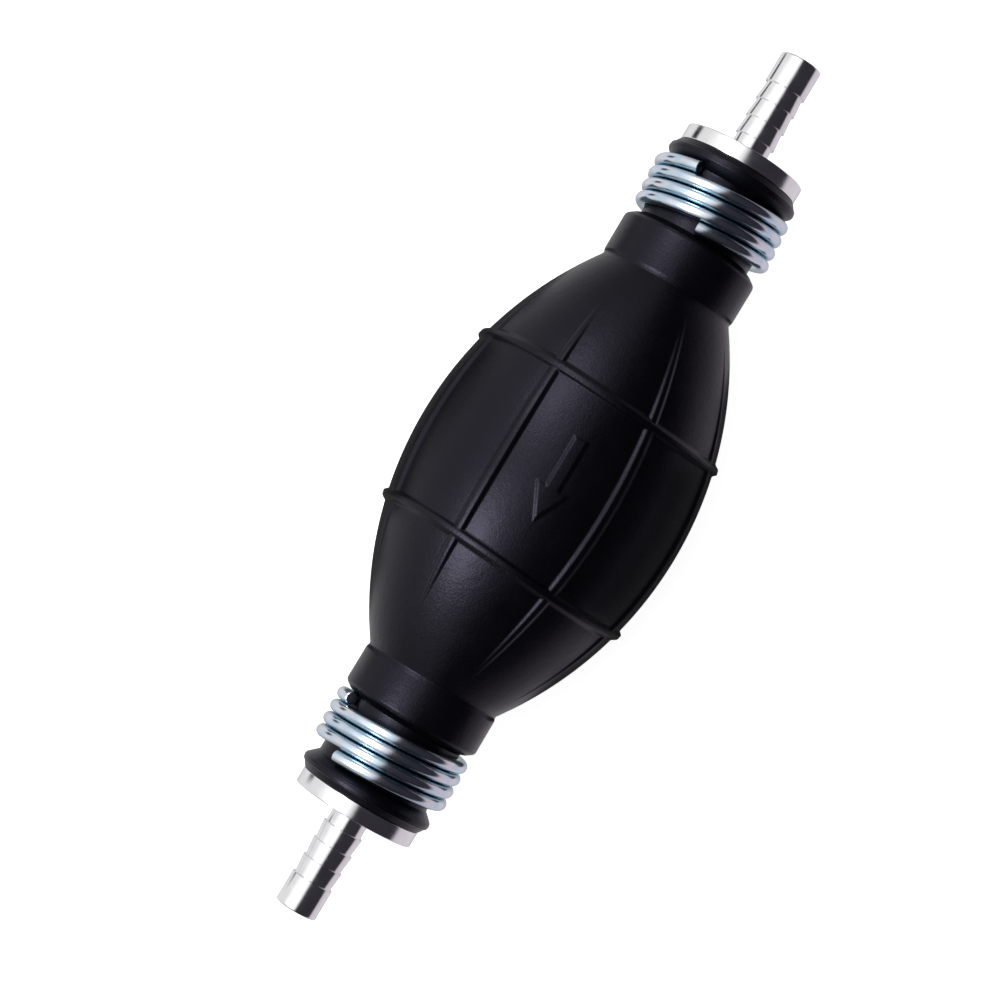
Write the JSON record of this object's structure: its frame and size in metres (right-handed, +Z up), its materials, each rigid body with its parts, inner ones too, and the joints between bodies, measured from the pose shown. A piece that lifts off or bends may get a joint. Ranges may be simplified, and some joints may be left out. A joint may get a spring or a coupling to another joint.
{
  "type": "siphon bulb pump",
  "caption": "Hand squeeze rubber primer bulb with aluminium hose barb fittings, coil wire clamps and spring-loaded ball check valves for siphoning liquid.",
  "frame": {"origin": "centre of the bulb, on the pump's axis and midway between the two barb ends", "axes": "+X along the flow, from the inlet barb to the outlet barb; +Z up, through the side of the bulb that carries the flow arrow; +Y to the left of the flow"},
  "size_m": [0.1756, 0.0516, 0.052],
  "materials": {
    "bulb_rubber": "satin moulded rubber, black with a faint violet cast",
    "fitting_aluminium": "bright turned aluminium",
    "clamp_zinc_steel": "bright zinc plate with a blue cast",
    "ball_steel": "polished bearing steel",
    "spring_steel": "drawn spring steel",
    "valve_brass": "turned brass",
    "seal_rubber": "smooth nitrile rubber"
  },
  "bodies": {
    "pump_body": {"bulb_body": "bulb_rubber", "inlet_fitting": "fitting_aluminium", "inlet_coil_clamp": "clamp_zinc_steel", "inlet_seat_seal": "seal_rubber", "inlet_valve_spring": "spring_steel", "inlet_spring_retainer": "valve_brass", "inlet_snap_ring": "spring_steel", "outlet_fitting": "fitting_aluminium", "outlet_coil_clamp": "clamp_zinc_steel", "outlet_valve_seat": "valve_brass", "outlet_seat_seal": "seal_rubber", "outlet_valve_spring": "spring_steel", "outlet_snap_ring": "spring_steel"},
    "left_wall": {"bulb_wall_left": "bulb_rubber"},
    "right_wall": {"bulb_wall_right": "bulb_rubber"},
    "inlet_ball": {"inlet_valve_ball": "ball_steel"},
    "outlet_ball": {"outlet_valve_ball": "ball_steel"}
  },
  "joints": [
    {"name": "squeeze_left", "type": "slide", "parent": "pump_body", "child": "left_wall", "axis": [0, -1, 0], "range_m": [0, 0.008], "stiffness_N_per_m": 2500},
    {"name": "squeeze_right", "type": "slide", "parent": "pump_body", "child": "right_wall", "axis": [0, 1, 0], "range_m": [0, 0.008], "stiffness_N_per_m": 2500},
    {"name": "inlet_ball_lift", "type": "slide", "parent": "pump_body", "child": "inlet_ball", "axis": [1, 0, 0], "range_m": [0, 0.0018], "stiffness_N_per_m": 60, "springref_m": -0.0012, "deforming": ["inlet_valve_spring"]},
    {"name": "outlet_ball_lift", "type": "slide", "parent": "pump_body", "child": "outlet_ball", "axis": [1, 0, 0], "range_m": [0, 0.0018], "stiffness_N_per_m": 60, "springref_m": -0.0012, "deforming": ["outlet_valve_spring"]}
  ],
  "couplings": [
    {"joint": "squeeze_right", "follows": "squeeze_left", "ratio": 1}
  ]
}
